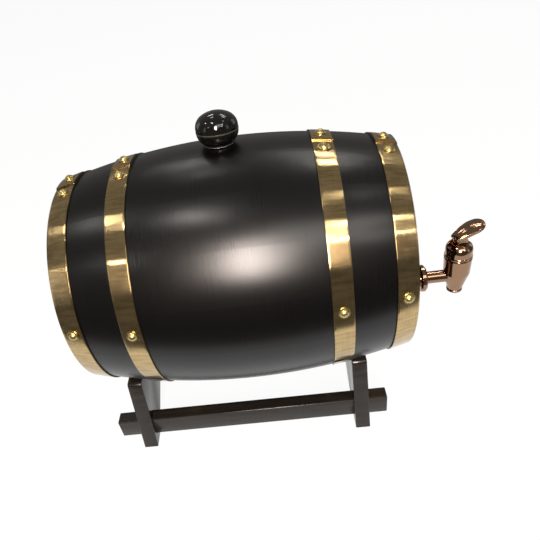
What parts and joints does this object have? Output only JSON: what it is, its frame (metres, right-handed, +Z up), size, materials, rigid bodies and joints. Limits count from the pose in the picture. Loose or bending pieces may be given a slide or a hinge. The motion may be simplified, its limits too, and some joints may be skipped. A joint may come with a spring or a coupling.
{
  "type": "cask drink dispenser",
  "caption": "Small horizontal oak cask with brass hoops, a bung knob on top and a self-closing lever tap, resting on a low cradle stand with two rails.",
  "frame": {"origin": "on the table, under the middle of the whole object's outline seen from above", "axes": "+X towards the tap along the cask's axis, +Z up, -Y the side seen in the picture"},
  "size_m": [0.3352, 0.2, 0.2735],
  "materials": {
    "cask_lacquer": "satin black lacquer over turned oak",
    "bare_oak": "bare oak",
    "hoop_brass": "polished brass strip, brushed along its length",
    "nail_brass": "polished brass",
    "knob_gloss": "high gloss black",
    "seam_metal": "plain metal ring",
    "rose_gold": "rose gold plating, polished",
    "steel": "stainless steel",
    "silicone": "milky silicone",
    "black_rubber": "black rubber",
    "stand_lacquer": "glossy dark brown lacquer"
  },
  "bodies": {
    "stand": {"front_cradle": "stand_lacquer", "rear_cradle": "stand_lacquer", "near_rail": "stand_lacquer", "far_rail": "stand_lacquer"},
    "cask": {"bung_stave": "cask_lacquer", "stave_01": "cask_lacquer", "stave_02": "cask_lacquer", "stave_03": "cask_lacquer", "stave_04": "cask_lacquer", "stave_05": "cask_lacquer", "stave_06": "cask_lacquer", "stave_07": "cask_lacquer", "stave_08": "cask_lacquer", "stave_09": "cask_lacquer", "stave_10": "cask_lacquer", "stave_11": "cask_lacquer", "stave_12": "cask_lacquer", "stave_13": "cask_lacquer", "stave_14": "cask_lacquer", "stave_15": "cask_lacquer", "front_head_middle": "cask_lacquer", "front_head_left": "cask_lacquer", "front_head_right": "cask_lacquer", "rear_head_middle": "cask_lacquer", "rear_head_left": "cask_lacquer", "rear_head_right": "cask_lacquer", "head_dowels": "bare_oak", "front_end_hoop": "hoop_brass", "front_quarter_hoop": "hoop_brass", "rear_quarter_hoop": "hoop_brass", "rear_end_hoop": "hoop_brass", "lap_nails": "nail_brass", "side_nails": "nail_brass", "tap_body": "rose_gold", "tap_bonnet": "rose_gold", "outer_washer": "black_rubber", "inner_washer": "black_rubber", "back_nut": "rose_gold"},
    "bung": {"knob_cap": "knob_gloss", "knob_seam_ring": "seam_metal", "knob_base": "knob_gloss", "bung_plug": "bare_oak", "bung_sleeve": "silicone", "knob_screw": "steel"},
    "tap_valve": {"valve_stem": "steel", "seat_cup": "silicone", "return_spring": "steel"},
    "tap_lever": {"tap_lever": "rose_gold", "lever_pin": "steel"}
  },
  "joints": [
    {"name": "cask_lift", "type": "slide", "parent": "stand", "child": "cask", "axis": [0, 0, 1], "range_m": [0, 0.08]},
    {"name": "bung_lift", "type": "slide", "parent": "cask", "child": "bung", "axis": [0, 0.075, 0.9972], "range_m": [0, 0.04]},
    {"name": "valve_lift", "type": "slide", "parent": "cask", "child": "tap_valve", "axis": [0, 0, 1], "range_m": [0, 0.00207], "deforming": ["return_spring"]},
    {"name": "lever_tilt", "type": "hinge", "parent": "tap_valve", "child": "tap_lever", "pos_m": [0.14821, 0, 0.142], "axis": [-0.2756, 0.9613, 0], "range_deg": [0, 35], "stiffness_Nm_per_rad": 0.25, "springref_deg": -11.46}
  ],
  "couplings": [
    {"joint": "lever_tilt", "follows": "valve_lift", "rad_per_m": 294}
  ]
}
